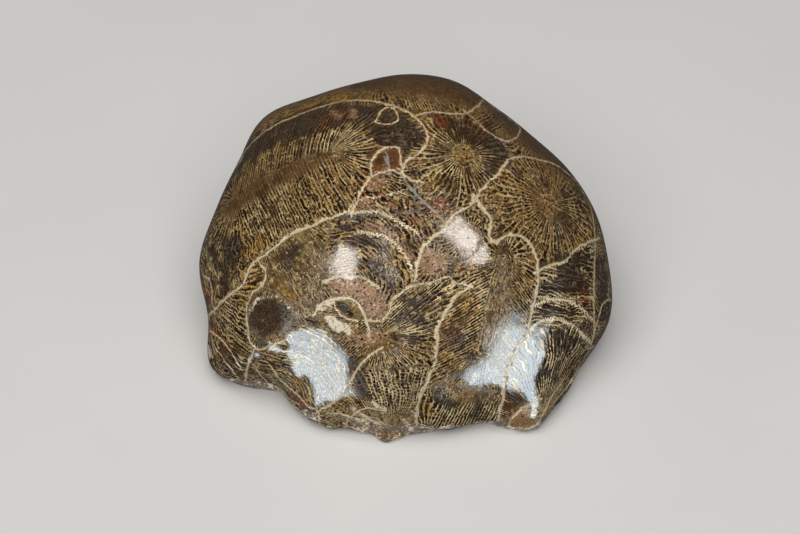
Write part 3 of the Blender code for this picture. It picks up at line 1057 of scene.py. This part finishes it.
    zigzag = abs((spoke * 2.0) % 1.0 - 0.5) - 0.25

    def line(name, spread=1.0, toothed=0.18, slim=0.58, sharp=0.08, zigzags=0.0):
        """(line, stain beside it)"""
        signed, plain, width = recipe.numbers(name)
        middle = abs(signed + wander * spread + zigzag * zigzags)
        half = width * slim * (0.95 + slow * 3.0 + quick * 1.5 + grit * 2.4) + teeth * toothed
        near = 1.0 - plain.rise(1.0, 1.5)
        return (half - middle).rise(-sharp, sharp) * near, (1.0 - middle.rise(0.25, 0.95)) * near

    marks = [line(f"wall_{index}") for index in range(len(wall_layers))]
    marks += [line(f"rear_{index}", 0.5) for index in range(len(rear_layers))]
    wall, stain = marks[0]
    for mark, beside in marks[1:]:
        wall, stain = wall.highest(mark), stain.highest(beside)
    growths = [line(f"growth_{index}", 0.8, 0.1, 0.85, 0.06, 1.2)[0] for index in range(len(growth_layers))]
    growth = growths[0]
    for mark in growths[1:]:
        growth = growth.highest(mark)
    veins = [line(f"vein_{index}", 0.9, 0.0, 0.8)[0] for index in range(len(vein_layers))]
    vein = veins[0]
    for mark in veins[1:]:
        vein = vein.highest(mark)
    colour = recipe.mix(colour, recipe.mix(OCHRE_PALE, OCHRE, pits), stain * (slow * 2.0 + 0.5).rise(0.2, 0.9) * 0.5)
    colour = recipe.mix(colour, VEIN_GREY, vein * (0.7 + grit).lowest(0.85))
    colour = recipe.mix(colour, CREAM, growth * 0.95)
    chalk = (slow * 1.5 + grit * 2.0 + 0.45 - front * 0.3).rise(0.0, 0.9)
    colour = recipe.mix(colour, recipe.mix(CREAM, CREAM_SHADE, chalk), wall * 0.92)

    # The crust along the lower edge.
    raw = (crust + slow * 3.4 + quick * 2.6 + grit * 1.0 - 0.2).rise(-0.12, 0.12)
    sugar = (slow * 1.8 + quick * 2.4 + grit * 2.0 + 0.45).rise(0.1, 0.9)
    stone = recipe.mix(CRUST_DARK, CRUST, sugar)
    stone = recipe.mix(stone, CRUST_RUST, (slow * 2.0 - quick * 1.2).rise(0.1, 0.4) * 0.7)
    stone = recipe.mix(stone, CRUST_PALE, (quick * 1.8 + grit * 0.8 + slow * 2.4 + 0.02).rise(0.05, 0.5))
    colour = recipe.mix(colour, recipe.mix(colour, stone, 0.88), raw)
    return colour, pits, wall, grain, raw


# %% [markdown]
# ## The polish
# The dome was ground and buffed until it mirrors the room. On the real stone the softer fillings of the
# blisters lie a hair lower than the calcite, so the mirror is very slightly broken up by the pattern
# itself. One Bump node takes that from the same pits and walls that give the colour, and a second one
# adds the slow ripple that buffing by hand leaves.

# %% Polished stone
polish = Recipe("polished_fossil_coral")
colour, pits, wall, grain, raw = draw_pattern(polish)
crumb = polish.noise(1.4, 4.0) + grain * 0.5
height = (grain * 0.2 - pits * 0.5 + wall * 0.4) * (1.0 - raw) * 0.05 + crumb * raw * 0.4
relief = polish.node("ShaderNodeBump", sockets={"Strength": 1.0, "Distance": 1.0 * MM, "Height": height})
ripple = polish.noise(0.12, 2.0)
relief = polish.node("ShaderNodeBump", sockets={"Strength": 1.0, "Distance": 0.1 * MM, "Height": ripple, "Normal": relief})
gloss = 0.03 + pits * 0.04 + abs(grain) * 0.04
head.data.materials.clear()
head.data.materials.append(polish.finish({
    "Base Color": colour, "Roughness": gloss + raw * (0.75 - gloss), "IOR": 1.5, "Normal": relief,
}))

# %% [markdown]
# ## The break
# Under the edge the stone was only knocked off, so it is matt and dusty, with the same corals showing
# through. It takes the same drawing with dust mixed over it, a high roughness and a coarse bump.

# %% Broken stone
broken = Recipe("broken_fossil_coral")
colour, pits, wall, grain, raw = draw_pattern(broken)
dust = broken.mix(colour, CRUST, (broken.noise(0.8, 3.0) + 0.25).rise(-0.3, 0.6) * 0.6)
crumb = broken.noise(1.2, 4.0) + grain * 0.4
relief = broken.node("ShaderNodeBump", sockets={"Strength": 1.0, "Distance": 0.35 * MM, "Height": crumb})
head.data.materials.append(broken.finish({"Base Color": dust, "Roughness": 0.75 + grain * 0.2, "Normal": relief}))
print("materials:", [slot.name for slot in head.data.materials])

# %% [markdown]
# ## The floor
# A plain pale sheet to stand on. The polish would mirror it as a white skirt all round, so
# reflections leave it out.

# %% Floor
FLOOR_SIZE = 3.0  # metres

floor_mesh = bpy.data.meshes.new("floor")
plane = bmesh.new()
bmesh.ops.create_grid(plane, x_segments=1, y_segments=1, size=FLOOR_SIZE / 2)
plane.to_mesh(floor_mesh)
plane.free()
floor = bpy.data.objects.new("floor", floor_mesh)
bpy.context.scene.collection.objects.link(floor)
paper = Recipe("pale_floor")
tint = paper.mix(linear(220, 220, 219), linear(217, 217, 217), (paper.noise(0.02, 2.0) + 0.5).rise(0.2, 0.8))
floor_mesh.materials.append(paper.finish({"Base Color": tint, "Roughness": 0.7, "Specular IOR Level": 0.0}))
floor.visible_glossy = False
floor.visible_shadow = False

# %% [markdown]
# ## Lights
# A polished dome is a mirror, and its highlights are pictures of the lights: two tall windows low in
# front and two lamps above them. Each is a rectangle of light, and it is placed by where its picture
# should lie: a ray from that spot on the stone, bounced off, leads to the light. These four only glint,
# and one large soft light from above lights the stone's colours.

# %% Lights
LIGHT_DISTANCE = 0.6
GLINTS = {  # the pixel that each light faces, its bearing and elevation from there, sides in metres, roll, radiance, colour
    "left window": ((322, 358), -133, -23, (0.34, 0.4), 8, 14.0, (0.8, 0.92, 1.0)),
    "right window": ((512, 351), -49, -15, (0.21, 0.42), -30, 17.0, (0.8, 0.92, 1.0)),
    "left lamp": ((343, 261), -116, 39, (0.2, 0.25), 0, 19.0, (1.0, 0.94, 0.87)),
    "right lamp": ((467, 242), -59, 48, (0.22, 0.32), 17, 17.0, (1.0, 0.94, 0.89)),
}


def area_light(name, aim, bearing, elevation, distance, sides, radiance, colour, roll=0.0):
    """A rectangular light that faces a place from a direction."""
    data = bpy.data.lights.new(name.replace(" ", "_"), "AREA")
    data.shape = "RECTANGLE"
    data.size, data.size_y = sides
    data.energy = radiance * math.pi * sides[0] * sides[1]
    data.color = colour
    light = bpy.data.objects.new(data.name, data)
    away = heading(bearing, elevation)
    light.location = aim + away * distance
    turn = (-away).to_track_quat("-Z", "Y") @ Quaternion((0, 0, 1), math.radians(roll))
    light.rotation_euler = turn.to_euler()
    bpy.context.scene.collection.objects.link(light)
    return light


for name, (pixel, bearing, elevation, sides, roll, radiance, tint) in GLINTS.items():
    light = area_light(name, on_stone(*pixel)[0], bearing, elevation, LIGHT_DISTANCE, sides, radiance, tint, roll)
    light.visible_diffuse = False
    print(name, "hangs at", [round(c, 2) for c in light.location])
soft = area_light("soft_top", Vector((0, 0, 0)), -100.0, 65.0, 1.32, (1.4, 1.4), 3.5, (1.0, 0.98, 0.95))
soft.visible_glossy = False

# %% [markdown]
# ## The room's own light
# A little even light from all round keeps the shadows from going black.

# %% World
world = bpy.data.worlds.new("studio")
world.use_nodes = True
world.node_tree.nodes["Background"].inputs["Color"].default_value = (0.98, 0.98, 1.0, 1.0)
world.node_tree.nodes["Background"].inputs["Strength"].default_value = 0.05
bpy.context.scene.world = world
bpy.context.scene.view_settings.view_transform = "Standard"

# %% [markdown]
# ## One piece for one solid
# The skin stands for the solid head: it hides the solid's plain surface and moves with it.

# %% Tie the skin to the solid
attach(head, "root")
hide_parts("coral_head")
